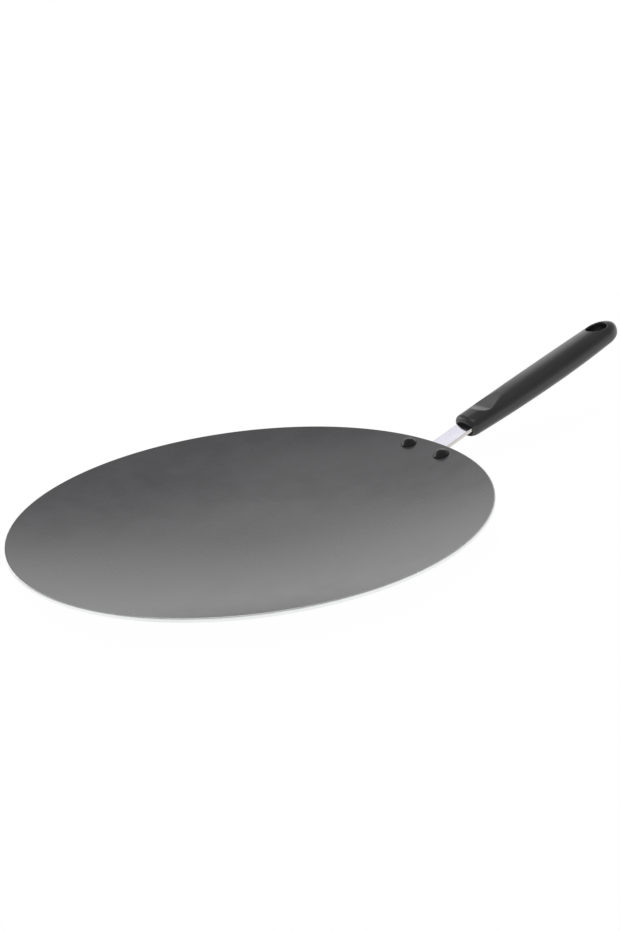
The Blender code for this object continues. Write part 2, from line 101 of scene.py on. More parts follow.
class NodeSheet:
    """A node tree written by short calls."""

    def __init__(self, owner: bpy.types.Material | bpy.types.World) -> None:
        """Take over the tree of a material or a world."""
        owner.use_nodes = True
        self.tree = owner.node_tree

    def node(self, kind: str, sockets: dict | None = None, **settings: object) -> bpy.types.Node:
        """Add a node.

        Args:
            kind: The node's type without its leading words.
            sockets: Values or output sockets for its inputs, by name or number.
            settings: Properties of the node.

        Returns:
            The new node.
        """
        made = self.tree.nodes.new("ShaderNode" + kind)
        for name, value in settings.items():
            setattr(made, name, value)
        self.feed(made, sockets or {})
        return made

    def feed(self, node: bpy.types.Node, sockets: dict) -> None:
        """Set or link inputs of a node.

        Args:
            node: The node.
            sockets: Values or output sockets, by the input's name or number.
        """
        for name, value in sockets.items():
            if isinstance(value, Socket):
                self.tree.links.new(value, node.inputs[name])
            else:
                node.inputs[name].default_value = value

    def math(self, operation: str, first: object, second: object = 0.0) -> Socket:
        """The result of a sum on two values or sockets."""
        return self.node("Math", {0: first, 1: second}, operation=operation).outputs[0]

    def ease(self, value: Socket, ends: tuple, low: object, high: object = 1.0) -> Socket:
        """Carry a value smoothly from low to high between two ends."""
        sockets = {"Value": value, 1: ends[0], 2: ends[1], 3: low, 4: high}
        return self.node("MapRange", sockets, interpolation_type="SMOOTHSTEP").outputs["Result"]

    def seen(self) -> Socket:
        """Tell straight rays from light that spreads.

        Returns:
            1 for rays from the camera, a mirror or a glass, and 0 for the rest.
        """
        path = self.node("LightPath").outputs
        straight = self.math("MAXIMUM", path["Is Camera Ray"], path["Is Glossy Ray"])
        return self.math("MAXIMUM", straight, path["Is Transmission Ray"])


@dataclass(frozen=True)
class Pattern:
    """A noise over the object's coordinates, or over the distance from Z and the height.

    The scale is in cells for each metre, and the stretch multiplies it along each axis.
    """

    scale: float
    detail: float = 2.0
    stretch: tuple = (1.0, 1.0, 1.0)
    rings: bool = False
    roughness: float = 0.5


class Recipe(NodeSheet):
    """A material with one Principled shader."""

    def __init__(self, name: str) -> None:
        """Start the material.

        Args:
            name: The material's name.
        """
        self.material = bpy.data.materials.new(name)
        super().__init__(self.material)
        self.shader = self.tree.nodes["Principled BSDF"]
        self.patterns: dict[Pattern, Socket] = {}

    def place(self, stretch: tuple = (1.0, 1.0, 1.0)) -> Socket:
        """Object coordinates, stretched for a pattern."""
        coordinates = self.node("TexCoord").outputs["Object"]
        return self.node("Mapping", {"Vector": coordinates, "Scale": stretch}).outputs["Vector"]

    def noise(self, pattern: Pattern) -> Socket:
        """Lay a pattern, whose nodes are made once in a material.

        Args:
            pattern: The pattern.

        Returns:
            Its factor.
        """
        if pattern not in self.patterns:
            vector = self.place(pattern.stretch)
            if pattern.rings:
                parts = self.node("SeparateXYZ", {0: vector}).outputs
                flat = self.node("CombineXYZ", {0: parts[0], 1: parts[1]}).outputs[0]
                radius = self.node("VectorMath", {0: flat}, operation="LENGTH").outputs[1]
                vector = self.node("CombineXYZ", {0: radius, 1: parts[2]}).outputs[0]
            sockets = {"Vector": vector, "Scale": pattern.scale, "Detail": pattern.detail,
                       "Roughness": pattern.roughness}
            self.patterns[pattern] = self.node("TexNoise", sockets).outputs["Fac"]
        return self.patterns[pattern]

    def spread(self, factor: Socket, low: float, high: float, start: float = 0.3,
               end: float = 0.7) -> Socket:
        """Stretch a factor between start and end to the values between low and high."""
        sockets = {"Value": factor, 1: start, 2: end, 3: low, 4: high}
        return self.node("MapRange", sockets).outputs["Result"]

    def mix(self, factor: Socket, first: tuple | Socket, second: tuple | Socket) -> Socket:
        """Mix two tones.

        Args:
            factor: Share of the second tone.
            first: A linear colour, or the socket that gives it.
            second: A linear colour, or the socket that gives it.

        Returns:
            The mixed tone.
        """
        ends = [(*end, 1.0) if isinstance(end, tuple) else end for end in (first, second)]
        made = self.node("Mix", data_type="RGBA")
        self.feed(made, {0: factor, 6: ends[0], 7: ends[1]})
        return made.outputs[2]


@dataclass(frozen=True)
class Finish:
    """Two tones mixed by one pattern, a gloss that varies by another and a fine relief.

    A speckle breaks the tones up. Above the first of two heights the tones turn towards a grey,
    fully from the second one.
    """

    name: str
    dark: tuple
    pale: tuple
    roughness: tuple
    tone: Pattern
    gloss: Pattern
    grain: Pattern
    depth: float
    strength: float = 1.0
    metallic: float = 1.0
    specular: float = 0.5
    speckle: Pattern | None = None
    contrast: tuple = (0.3, 0.7)
    grey_heights: tuple | None = None
    grey_colour: tuple = (0.50, 0.50, 0.51)
    grey_cloud: Pattern = Pattern(260.0)
    grey_drift: float = 0.0001

    def tones(self, recipe: Recipe) -> Socket:
        """Mix the tones, with the speckle and the grey towards the top where the finish has them.

        Args:
            recipe: The material's recipe.

        Returns:
            The base colour.
        """
        factor = recipe.noise(self.tone)
        if self.speckle is not None:
            factor = recipe.math("MULTIPLY", factor, recipe.noise(self.speckle))
        tone = recipe.mix(recipe.spread(factor, 0, 1, *self.contrast), self.dark, self.pale)
        if self.grey_heights is None:
            return tone
        drift = recipe.spread(recipe.noise(self.grey_cloud), -self.grey_drift, self.grey_drift)
        height = recipe.node("SeparateXYZ", {0: recipe.place()}).outputs[2]
        toward_top = recipe.spread(recipe.math("ADD", height, drift), 0.0, 1.0, *self.grey_heights)
        return recipe.mix(toward_top, tone, self.grey_colour)

    @cache
    def build(self) -> bpy.types.Material:
        """Make the material, once for all the pieces that take it.

        Returns:
            The material.
        """
        recipe = Recipe(self.name)
        relief = recipe.node("Bump", {"Height": recipe.noise(self.grain), "Distance": self.depth,
                                      "Strength": self.strength})
        recipe.feed(recipe.shader, {
            "Base Color": self.tones(recipe),
            "Metallic": self.metallic,
            "Roughness": recipe.spread(recipe.noise(self.gloss), *self.roughness),
            "Specular IOR Level": self.specular,
            "Normal": relief.outputs["Normal"],
        })
        return recipe.material


# Dark sprayed coat: faint mottling, fine speckle and the skin of a sprayed film
MOTTLE = Pattern(45.0, 3.0)
COAT = Finish("non_stick_coat", (0.061, 0.059, 0.065), (0.080, 0.077, 0.084), (0.16, 0.22),
              tone=MOTTLE, gloss=MOTTLE, grain=Pattern(900.0), depth=0.00002, metallic=0.0,
              specular=0.78, speckle=Pattern(1400.0, 1.0), contrast=(0.15, 0.35))

# Bare aluminium with the rings that turning leaves at the edge and spinning leaves below
TURNING_PITCH = 0.0011
SPINNING_PITCH = 0.0016
TURNING = Pattern(1 / TURNING_PITCH, 3.0, rings=True, roughness=0.65)
SPINNING = replace(TURNING, scale=1 / SPINNING_PITCH)
# the turned edge turns grey towards its top, between the two heights given
TURNED = Finish("turned_aluminium", (0.86, 0.87, 0.87), (0.93, 0.94, 0.94), (0.28, 0.42),
                tone=Pattern(30.0, 3.0), gloss=TURNING, grain=TURNING, depth=0.000012,
                grey_heights=(0.0173, 0.0186))
SPUN = replace(TURNED, name="spun_aluminium", dark=(0.56, 0.57, 0.57), pale=(0.60, 0.61, 0.61),
               roughness=(0.34, 0.48), gloss=SPINNING, grain=SPINNING, depth=0.00004, grey_heights=None)

# Near-black coat of the rivets, a little uneven
CLOUDS = Pattern(220.0)
RIVET_COAT = Finish("rivet_coat", (0.003,) * 3, (0.006,) * 3, (0.26, 0.29), tone=CLOUDS,
                    gloss=CLOUDS, grain=Pattern(1800.0), depth=0.000001, metallic=0.0)

# The strap's faces, drawn along X and polished, and its duller, warmer cut edges
HAIRLINES = Pattern(5200.0, stretch=(0.02, 1.0, 1.0))
POLISHED = Finish("polished_steel", (0.81, 0.795, 0.89), (0.87, 0.855, 0.95), (0.06, 0.11),
                  tone=Pattern(160.0), gloss=HAIRLINES, grain=HAIRLINES, depth=0.0000012)
STREAKS = Pattern(2600.0, stretch=(1.0, 1.0, 0.25))
SHEARED = Finish("sheared_steel", (0.62, 0.59, 0.55), (0.74, 0.71, 0.67), (0.26, 0.40),
                 tone=STREAKS, gloss=STREAKS, grain=STREAKS, depth=0.00001)

# Satin black thermoset with a fine spark grain and a handled gloss, and a darker, matte copy on
# the mouth's face and in the slot, whose darker tone is painted shade
HANDLED = Pattern(38.0, 3.0)
MOULDED = Finish("black_moulding", (0.012, 0.012, 0.013), (0.018, 0.017, 0.018), (0.27, 0.34),
                 tone=HANDLED, gloss=HANDLED, grain=Pattern(2600.0), depth=0.00002, strength=0.6,
                 metallic=0.0, specular=0.65)
# darker copy for the mouth's face and the slot: its darker tone is painted shade, and it is
# rougher and less glossy
MATTE_MOULDING_PAINTED_SHADE = replace(MOULDED, name="matte_moulding_painted_shade", dark=(0.006,) * 3, pale=(0.010,) * 3,
              roughness=(0.67, 0.74), specular=0.15)

# Plated and turned metals of the fasteners
TOOLING = Pattern(2400.0, stretch=(1.0, 1.0, 4.0))
ZINC_SCREW = Finish("zinc_screw", (0.50, 0.51, 0.52), (0.60, 0.61, 0.62), (0.25, 0.37),
                    tone=Pattern(500.0), gloss=TOOLING, grain=TOOLING, depth=0.000006)
ZINC_WASHER = replace(ZINC_SCREW, name="zinc_washer", dark=(0.42, 0.43, 0.44),
                      pale=(0.52, 0.53, 0.54), roughness=(0.33, 0.45))
BRASS = replace(ZINC_SCREW, name="brass_insert", dark=(0.56, 0.38, 0.15), pale=(0.66, 0.47, 0.20))


# Surfaces

@dataclass(frozen=True)
class Window:
    """A rectangle of grid cells left open for a hole, by the numbers of its border lines."""

    first_row: int
    last_row: int
    first_column: int
    last_column: int

    def border(self) -> tuple[Grid, Grid]:
        """Go once round the rectangle.

        Returns:
            Row and column numbers of the grid points on it.
        """
        rows = np.arange(self.first_row, self.last_row)
        columns = np.arange(self.first_column, self.last_column)
        there = np.concatenate([rows, np.full(len(columns), self.last_row),
                                rows[::-1] + 1, np.full(len(columns), self.first_row)])
        across = np.concatenate([np.full(len(rows), self.first_column), columns,
                                 np.full(len(rows), self.last_column), columns[::-1] + 1])
        return there, across


def window_round(places: Grid, centre: tuple, reach: float | tuple, rows: tuple[int, int],
                 columns: tuple[int, int]) -> Window:
    """Find the smallest window of a grid that clears a hole on all sides.

    Args:
        places: The grid's places, of which the first two coordinates count.
        centre: The hole's middle in them.
        reach: How far the window's lines keep from the middle, along each of them.
        rows: First and last grid row that may be used.
        columns: First and last grid column that may be used.

    Returns:
        The window.
    """
    part = places[rows[0]:rows[1] + 1, columns[0]:columns[1] + 1, :2]
    inside = (np.abs(part - centre) < reach).all(axis=-1)
    used_rows = np.flatnonzero(inside.any(axis=1))
    used_columns = np.flatnonzero(inside.any(axis=0))
    return Window(rows[0] + used_rows[0] - 1, rows[0] + used_rows[-1] + 1,
                  columns[0] + used_columns[0] - 1, columns[0] + used_columns[-1] + 1)


class Skin:
    """Surfaces gathered into one closed mesh."""

    WELD = 2e-6

    def __init__(self, carry: Callable[[Grid], Grid] | None = None) -> None:
        """Start with nothing.

        Args:
            carry: Brings each surface into the part's frame, where it is drawn in its own.
        """
        self.carry = carry
        self.sheets: list[tuple[Grid, Grid, Grid]] = []
        self.count = 0

    def sheet(self, points: Grid, slot: int | Grid = 0, closed: bool = True,
              windows: tuple | list = ()) -> None:
        """Lay four-sided faces over an array of points.

        Args:
            points: Places as [rows, columns, 3].
            slot: Number of the material, or one number for each row of faces.
            closed: Whether the last column joins the first.
            windows: Windows whose cells stay open.
        """
        rows, columns = points.shape[:2]
        index = np.arange(rows * columns).reshape(rows, columns) + self.count
        if closed:
            index = np.hstack([index, index[:, :1]])
        corners = [index[:-1, :-1], index[:-1, 1:], index[1:, 1:], index[1:, :-1]]
        quads = np.stack(corners, axis=-1)
        keep = np.ones(quads.shape[:2], dtype=bool)
        for window in windows:
            keep[window.first_row:window.last_row, window.first_column:window.last_column] = False
        numbers = np.broadcast_to(np.reshape(slot, (-1, 1)), keep.shape)
        placed = points if self.carry is None else self.carry(points)
        self.sheets.append((placed.reshape(-1, 3), quads[keep], numbers[keep]))
        self.count += rows * columns

    def build(self, name: str, finishes: tuple[Finish, ...], slot: Slot,
              replaced: tuple[str, ...], smooth_degrees: float = 34.0,
              bridge: bool = False) -> bpy.types.Object:
        """Weld the surfaces, turn their faces outwards and put the piece on the part.

        Args:
            name: The piece's name.
            finishes: Its finishes in the order of the slot numbers.
            slot: The record's slot; not used.
            replaced: The nodes that it stands for.
            smooth_degrees: Faces that meet at a larger angle keep a crisp edge.
            bridge: Whether the two open rims that are left are joined.

        Returns:
            The finished object.
        """
        points, quads, numbers = map(np.concatenate, zip(*self.sheets))
        mesh = bpy.data.meshes.new(name)
        mesh.from_pydata(points, [], quads)
        mesh.polygons.foreach_set("material_index", numbers.astype(np.int32))
        data = bmesh.new()
        data.from_mesh(mesh)
        bmesh.ops.remove_doubles(data, verts=data.verts, dist=self.WELD)
        loose = [point for point in data.verts if not point.link_faces]
        bmesh.ops.delete(data, geom=loose, context="VERTS")
        if bridge:
            bmesh.ops.bridge_loops(data, edges=[edge for edge in data.edges if edge.is_boundary])
        rims = [edge for edge in data.edges if edge.is_boundary]
        bmesh.ops.recalc_face_normals(data, faces=data.faces)
        data.to_mesh(mesh)
        data.free()
        mesh.shade_smooth()
        mesh.set_sharp_from_angle(angle=math.radians(smooth_degrees))
        for finish in finishes:
            mesh.materials.append(finish.build())
        piece = add_object(name, mesh)
        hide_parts(*replaced)
        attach(piece, "root")
        LOG.info("%s: %d faces, %d open edges", name, len(mesh.polygons), len(rims))
        return piece


def revolve(profile: Grid, turns: int) -> Grid:
    """Carry a profile round Z: each point goes to (r cos t, r sin t, z).

    Args:
        profile: Radius and height of each point.
        turns: Number of steps round.

    Returns:
        Places as [points, turns, 3].
    """
    angle = math.tau * np.arange(turns) / turns
    radius, height = profile[:, :1], profile[:, 1:]
    return np.stack([radius * np.cos(angle), radius * np.sin(angle), height + 0 * angle], axis=-1)


def quarter(steps: int) -> Grid:
    """Angles of a quarter turn from 0, both ends included."""
    return np.linspace(0.0, math.pi / 2, steps + 1)


def arc(centre: tuple, radius: float, turn: Grid) -> Grid:
    """Points of an arc in the plane: the centre plus the radius times (cos t, sin t)."""
    return np.stack([np.cos(turn), np.sin(turn)], 1) * radius + centre


def between(outer: Grid, inner: Grid, count: int) -> Grid:
    """Rows of points spaced evenly from one loop to another, both of them included."""
    share = np.linspace(0, 1, count).reshape(-1, *([1] * outer.ndim))
    return outer + (inner - outer) * share


def unit_from(centre: tuple, places: Grid) -> Grid:
    """Unit vectors in plan from a centre towards each place."""
    away = places[..., :2] - centre
    return away / np.linalg.norm(away, axis=-1, keepdims=True)


def ring_round(centre: tuple, radius: float, places: Grid) -> Grid:
    """Plan points at a radius from a centre, on its way to each place."""
    return unit_from(centre, places) * radius + centre


def raised(plan: Grid, height: Values) -> Grid:
    """Plan points with their heights added."""
    return np.concatenate([plan, np.broadcast_to(height, plan.shape[:-1])[..., None]], axis=-1)


def in_order(upper: Grid, lower: Grid) -> Grid:
    """Put one loop's points in the order of another's, by their angle round Z.

    Args:
        upper: Points of the loop that gives the order.
        lower: Points of the other loop.

    Returns:
        For each upper point, the lower one whose angle is nearest to its own.
    """
    first, second = (np.arctan2(loop[:, 1], loop[:, 0]) for loop in (upper, lower))
    gap = np.abs(np.angle(np.exp(1j * (first[:, None] - second))))
    return lower[gap.argmin(axis=1)]


# Shared places

@dataclass(frozen=True)
class DishForm:
    """Shape of the sheet: a shallow bowl of revolution with a flat foot turned under it."""

    rim_radius: float = 0.150
    foot_radius: float = 0.045
    depth: float = 0.016
    power: float = 2.4
    sheet: float = 0.0025
    edge_round: float = 0.0006
    rounds_of_search: int = 12

    def height(self, radius: Values) -> Values:
        """Height of the cooking surface: the sheet plus depth times (radius / rim) ** power."""
        return self.sheet + self.depth * (radius / self.rim_radius) ** self.power

    def slope(self, radius: Values) -> Values:
        """Angle of the cooking surface: the slope of the height's formula."""
        share = (radius / self.rim_radius) ** (self.power - 1)
        return np.arctan(self.power * self.depth / self.rim_radius * share)

    def below(self, radius: Values, drop: Values) -> tuple[Values, Values]:
        """Radius and height of the point at a depth square under the cooking surface."""
        slope = self.slope(radius)
        return radius + drop * np.sin(slope), self.height(radius) - drop * np.cos(slope)

    def underside(self, radius: Grid) -> tuple[Grid, Grid]:
        """Follow the underside: level on the foot, one thickness down outside it.

        The thickness falls from the foot's edge to the rim with the cube of the way left.

        Args:
            radius: Plan radii on the cooking surface.

        Returns:
            Radii and heights of the points under them.
        """
        left = (self.rim_radius - radius) / (self.rim_radius - self.foot_radius)
        extra = self.height(self.foot_radius) - self.sheet
        under = self.below(radius, self.sheet + extra * left ** 3)
        foot = radius <= self.foot_radius
        return np.where(foot, radius, under[0]), np.where(foot, 0.0, under[1])

    def height_below(self, radius: Values, drop: float) -> Values:
        """Height of the surface that lies at a depth square under the cooking surface.

        The point square above is found step by step, as radius - drop * sin(its slope).

        Args:
            radius: Plan radii of the places asked for.
            drop: The depth.

        Returns:
            The heights there.
        """
        above = radius
        for _ in range(self.rounds_of_search):
            above = radius - drop * np.sin(self.slope(above))
        return self.below(above, drop)[1]


@dataclass(frozen=True)
class HandleLine:
    """Where the rivets, the strap and the grip lie."""

    dish: DishForm = field(default_factory=DishForm)
    rivet_inset: float = 0.0109
    rivet_pitch: float = 0.0356
    strap_thickness: float = 0.0025
    strap_rise: float = math.radians(18.0)
    strap_visible: float = 0.0275

    @property
    def rivet_x(self) -> float:
        """Plan distance of the rivets' line."""
        return self.dish.rim_radius - self.rivet_inset

    @property
    def bend_x(self) -> float:
        """Where the strap leaves the dish."""
        return self.dish.rim_radius + CLEARANCE

    @property
    def bend_top(self) -> float:
        """Height of the strap's upper face there."""
        return self.dish.height_below(self.bend_x, self.depth(0))

    @property
    def strap_drop(self) -> float:
        """Upright thickness of the strap."""
        return self.strap_thickness / math.cos(self.strap_rise)

    def depth(self, level: int) -> float:
        """Depth of the bracket's upper face, 0, or lower face, 1, under the cooking surface."""
        return self.dish.sheet + CLEARANCE + level * self.strap_thickness

    def from_grip(self, points: Grid) -> Grid:
        """Carry places from the grip's frame to the part's: a turn by the rise and a shift.

        Args:
            points: Places from the middle of the grip's mouth, with X along the strap.

        Returns:
            The same places in the part's frame.
        """
        cosine, sine = math.cos(self.strap_rise), math.sin(self.strap_rise)
        mouth_x = self.bend_x + self.strap_visible * cosine
        mouth_z = self.bend_top + self.strap_visible * sine - self.strap_drop / 2
        x, y, z = points[..., 0], points[..., 1], points[..., 2]
        return np.stack([mouth_x + x * cosine - z * sine, y, mouth_z + x * sine + z * cosine],
                        axis=-1)

    def rivet_frame(self, side: int) -> tuple[Grid, Grid]:
        """Seat a rivet on the cooking surface.

        Args:
            side: 1 for the left rivet, -1 for the right one.

        Returns:
            The seat's place, and the turn whose columns are the rivet's own axes.
        """
        y = side * self.rivet_pitch / 2
        out = math.hypot(self.rivet_x, y)
        slope = self.dish.slope(out)
        turn = math.atan2(y, self.rivet_x)
        tilt = np.array([[math.cos(slope), 0, -math.sin(slope)], [0, 1, 0],
                         [math.sin(slope), 0, math.cos(slope)]])
        swing = np.array([[math.cos(turn), -math.sin(turn), 0],
                          [math.sin(turn), math.cos(turn), 0], [0, 0, 1]])
        return np.array([self.rivet_x, y, self.dish.height(out)]), swing @ tilt


# Pieces

@dataclass
class Dish:
    """The coated dish with its bare edge, its spun underside and its two rivet holes."""

    line: HandleLine
    turns: int = 360
    sector: int = 30
    hole_margin: float = 0.0012
    hole_rows: int = 4
    margin_radius: float = 0.130
    rings: tuple = (15, 33, 15)
    edge_steps: int = 9
    coated_rows: int = 1

    def radii(self) -> Grid:
        """Space the rings: wide apart in the middle, close by the rivets.

        Returns:
            Their plan radii.
        """
        form = self.line.dish
        ends = (0.0, form.foot_radius, self.margin_radius, form.rim_radius - 2 * form.edge_round)
        parts = [np.linspace(*ends[number:number + 2], count)
                 for number, count in enumerate(self.rings)]
        return np.concatenate([parts[0], parts[1][1:], parts[2][1:]])

    def edge_profile(self) -> Grid:
        """Draw the upright cut edge: two quarter rounds and a plain band between them.

        Returns:
            Radius and height of each point, from the top down.
        """
        form = self.line.dish
        rim, radius = form.rim_radius, form.edge_round
        slope = form.slope(rim)
        middle = rim - radius
        upper = form.height(rim) - radius * math.tan(slope) - radius / math.cos(slope)
        lower = upper - (form.sheet - 2 * radius) / math.cos(slope)
        first = np.linspace(math.pi / 2 + slope, 0, self.edge_steps)
        second = np.linspace(0, slope - math.pi / 2, self.edge_steps)
        return np.concatenate([arc((middle, upper), radius, first),
                               arc((middle, lower), radius, second)])

    def build(self) -> bpy.types.Object:
        """Make the dish: the revolved profile with a window and a tube at each rivet.

        Returns:
            The finished object.
        """
        form = self.line.dish
        radii = self.radii()
        edge = self.edge_profile()
        profile = np.concatenate([np.stack([radii, form.height(radii)], 1), edge,
                                  np.stack(form.underside(radii[::-1]), 1)])
        grid = revolve(profile, self.turns)
        half, last_top = len(radii) // 2, len(radii) - 1
        first_bottom = len(radii) + len(edge)
        skin = Skin()
        windows = []
        for side, start in ((1, 0), (-1, self.turns - self.sector)):
            seat, turn = self.line.rivet_frame(side)
            local = (grid - seat) @ turn
            rings = []
            for rows, slot in (((half, last_top), 0), ((first_bottom, first_bottom + half), 2)):
                window = window_round(local, (0, 0), RIVET_HOLE + self.hole_margin, rows,
                                      (start, start + self.sector - 1))
                border = local[window.border()]
                rings.append(raised(ring_round((0, 0), RIVET_HOLE, border), border[:, 2].mean()))
                skin.sheet(between(border, rings[-1], self.hole_rows) @ turn.T + seat, slot=slot)
                windows.append(window)
            skin.sheet(np.stack([rings[0], in_order(*rings)]) @ turn.T + seat, slot=2)
        numbers = np.full(len(profile) - 1, 2)
        coated = last_top + 1 + self.coated_rows
        numbers[:coated] = 0
        numbers[coated:first_bottom - 1] = 1
        skin.sheet(grid, slot=numbers, windows=windows)
        return skin.build("coated_dish", (COAT, TURNED, SPUN), Slot.COAT, ("tawa_plate",))


@dataclass
class Rivet:
    """A set rivet: a domed coated head, the shank and a flattened tail under the foot."""

    line: HandleLine
    side: int
    node: str
    head_radius: float = 0.00565
    head_height: float = 0.0036
    shank_radius: float = 0.0026
    tail_radius: float = 0.0044
    tail_height: float = 0.0018
    tail_flat: float = 0.55
    brim_round: float = 0.0003
    brim_tuck: float = 0.4
    dome_share: float = 0.97
    dome_steps: int = 22
    tail_steps: int = 8
    turns: int = 72

    def profile(self) -> Grid:
        """Draw the rivet from the crown down: an arc of a circle, a small round, the rest.

        Returns:
            Radius and height of each point.
        """
        floor = CLEARANCE
        low = -(self.line.depth(1) + CLEARANCE)
        sphere = (self.head_radius ** 2 + self.head_height ** 2) / (2 * self.head_height)
        widest = math.asin(self.head_radius / sphere)
        dome = np.linspace(0, widest * self.dome_share, self.dome_steps)
        centre = floor + self.head_height - sphere
        crown = np.stack([sphere * np.sin(dome), centre + sphere * np.cos(dome)], 1)
        brim = np.array([[self.head_radius, floor + self.brim_round],
                         [self.head_radius - self.brim_round * self.brim_tuck, floor],
                         [self.shank_radius, floor], [self.shank_radius, low],
                         [self.tail_radius, low]])
        flat = self.tail_radius * self.tail_flat
        turn = quarter(self.tail_steps)
        tail = np.stack([flat + (self.tail_radius - flat) * np.cos(turn),
                         low - self.tail_height * (1 + np.sin(turn)) / 2], 1)
        return np.concatenate([crown, brim, tail, [[0.0, low - self.tail_height]]])

    def build(self) -> bpy.types.Object:
        """Make the rivet: the revolved profile stood on its seat.

        Returns:
            The finished object.
        """
        seat, turn = self.line.rivet_frame(self.side)
        skin = Skin()
        skin.sheet(revolve(self.profile(), self.turns) @ turn.T + seat)
        return skin.build("domed_" + self.node, (RIVET_COAT,), Slot.RIVET, (self.node,))


@dataclass
class Bracket:
    """The riveted foot, the bright strap and the tang, one flat sheet with eased edges."""

    line: HandleLine
    width: float = 0.0157
    ear_radius: float = 0.0085
    fillet: float = 0.0060
    tang: float = 0.062
    tang_corner: float = 0.0040
    ease: float = 0.00022
    step_slant: float = 0.00002
    hole_margin: float = 0.001
    columns: int = 48
    rung_share: float = 0.9
    corner_steps: int = 10
    side_points: int = 64
    ear_points: int = 33
    edge_steps: int = 5
    bright_rows: int = 2
    hole_rows: int = 4
    crisp_degrees: float = 40.0

    def outline(self) -> tuple[Grid, Grid]:
        """Draw the left half of the plan, from the tang's end to the foot's back.

        Returns:
            The points and their outward normals.
        """
        line = self.line
        half = self.width / 2
        end = (line.bend_x + line.strap_visible * math.cos(line.strap_rise)
               + self.tang * math.cos(line.strap_rise))
        front = line.rivet_x + self.ear_radius
        corner, fillet = self.tang_corner, self.fillet
        turn = quarter(self.corner_steps)
        ear = np.linspace(0, math.pi, self.ear_points)
        tip_out, lobe_out = arc((0, 0), 1.0, turn), arc((0, 0), 1.0, ear)
        bend_out = tip_out[:, ::-1]
        run = np.linspace(end - corner, front + fillet, self.side_points)[1:-1]
        lobe = arc((line.rivet_x, line.rivet_pitch / 2), self.ear_radius, ear)
        lobe[0, 0] -= self.step_slant
        points = [arc((end - corner, half - corner), corner, turn),
                  np.stack([run, np.full_like(run, half)], 1),
                  np.array([front + fillet, half + fillet]) - fillet * bend_out, lobe]
        normals = [tip_out, np.tile([0.0, 1.0], (len(run), 1)), bend_out, lobe_out]
        return np.concatenate(points), np.concatenate(normals)

    def height(self, x: Grid, y: Grid, level: int) -> Grid:
        """Height of a face: along the dish's underside, then straight up the strap.

        Args:
            x: Plan places along the handle.
            y: Plan places across it.
            level: 0 for the upper face, 1 for the lower one.

        Returns:
            The heights.
        """
        line = self.line
        foot = line.dish.height_below(np.hypot(x, y), line.depth(level))
        strap = line.bend_top + (x - line.bend_x) * math.tan(line.strap_rise)
        return np.where(x < line.bend_x, foot, strap - level * line.strap_drop)

    def rungs(self) -> Grid:
        """Shares across the sheet from right to left, closer together towards its edges."""
        share = np.sin(np.linspace(-1, 1, self.columns + 1) * self.rung_share * math.pi / 2)
        return share / share[-1]

    def face(self, level: int) -> Grid:
        """Lay one face as a ladder: straight rungs from the left outline to the right one.

        Args:
            level: 0 for the upper face, 1 for the lower one.

        Returns:
            The grid of places.
        """
        points, out = self.outline()
        drawn = points - out * self.ease
        share = self.rungs()
        x = np.broadcast_to(drawn[:, :1], (len(drawn), len(share)))
        y = drawn[:, 1:] * share
        return np.stack([x, y, self.height(x, y, level)], axis=-1)

    def rim(self) -> Grid:
        """Lay the edge all round: a quarter round, an upright band and a quarter round.

        Returns:
            The grid of places.
        """
        points, out = self.outline()
        mirror = np.array([1.0, -1.0])
        across = self.rungs()[1:-1, None] * np.array([0.0, 1.0])
        level = np.ones_like(across) * np.array([1.0, 0.0])
        loop = np.concatenate([points, points[-1] * (level + across[::-1]),
                               points[::-1] * mirror, points[0] * (level + across)])
        normals = np.concatenate([out, -level, out[::-1] * mirror, level])
        turn = quarter(self.edge_steps)
        inset = self.ease * (1 - np.concatenate([np.sin(turn), np.cos(turn)]))
        fall = self.ease * (1 - np.cos(turn))
        place = loop[None] - normals[None] * inset[:, None, None]
        x, y = place[..., 0], place[..., 1]
        count = len(turn)
        height = np.concatenate([self.height(x, y, 0)[:count] - fall[:, None],
                                 self.height(x, y, 1)[count:] + fall[::-1][:, None]])
        return raised(place, height)

    def build(self) -> bpy.types.Object:
        """Make the bracket with its two rivet holes and the screw's hole in the tang.

        Returns:
            The finished object.
        """
        line = self.line
        skin = Skin()
        faces = [self.face(level) for level in (0, 1)]
        rows, columns = faces[0].shape[0] - 2, faces[0].shape[1] - 2
        holes = [(line.rivet_x, side * line.rivet_pitch / 2, RIVET_HOLE) for side in (1, -1)]
        holes.append((line.from_grip(np.array([SCREW_AT, 0.0, 0.0]))[0], 0.0, SCREW_HOLE))
        windows = []
        for x, y, radius in holes:
            window = window_round(faces[0], (x, y), radius + self.hole_margin, (1, rows),
                                  (1, columns))
            rings = []
            for level, face in enumerate(faces):
                border = face[window.border()]
                plan = ring_round((x, y), radius, border)
                rings.append(raised(plan, self.height(plan[:, 0], plan[:, 1], level)))
                skin.sheet(between(border, rings[-1], self.hole_rows))
            skin.sheet(np.stack(rings), slot=1)
            windows.append(window)
        for face in faces:
            skin.sheet(face, closed=False, windows=windows)
        rim = self.rim()
        numbers = np.ones(len(rim) - 1, dtype=int)
        numbers[:self.bright_rows] = numbers[-self.bright_rows:] = 0
        skin.sheet(rim, slot=numbers)
        return skin.build("bright_bracket", (POLISHED, SHEARED), Slot.STEEL,
                          ("handle_bracket",), self.crisp_degrees)


